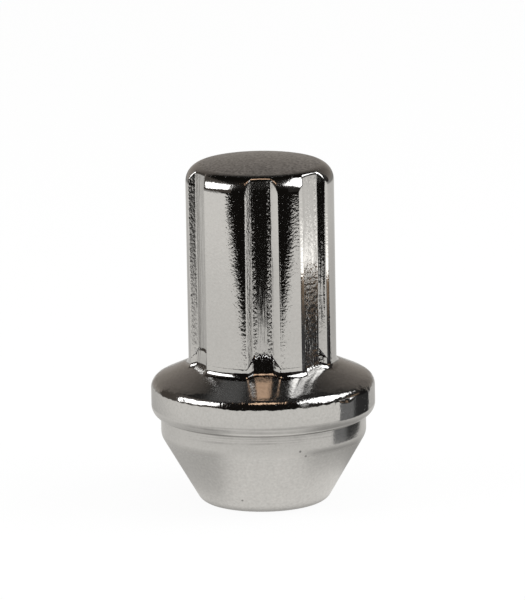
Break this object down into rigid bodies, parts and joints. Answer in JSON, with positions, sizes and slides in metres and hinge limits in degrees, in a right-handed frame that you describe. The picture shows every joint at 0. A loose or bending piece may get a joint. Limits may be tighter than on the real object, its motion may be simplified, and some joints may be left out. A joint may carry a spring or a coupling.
{
  "type": "locking wheel nut",
  "caption": "Closed-end locking wheel nut with a cone seat, a wide flange and a domed round barrel that has unevenly spaced key grooves down its side.",
  "frame": {"origin": "centre of the ring face at the nut's small end, on the thread axis, where the nut stands on a surface", "axes": "+Z along the thread axis towards the domed closed end; -Y faces the side shown in the picture; +X to the right of that view"},
  "size_m": [0.03, 0.03, 0.0467],
  "materials": {
    "chrome_plate": "polished"
  },
  "bodies": {
    "root": {"wheel_nut": "chrome_plate"}
  },
  "joints": []
}
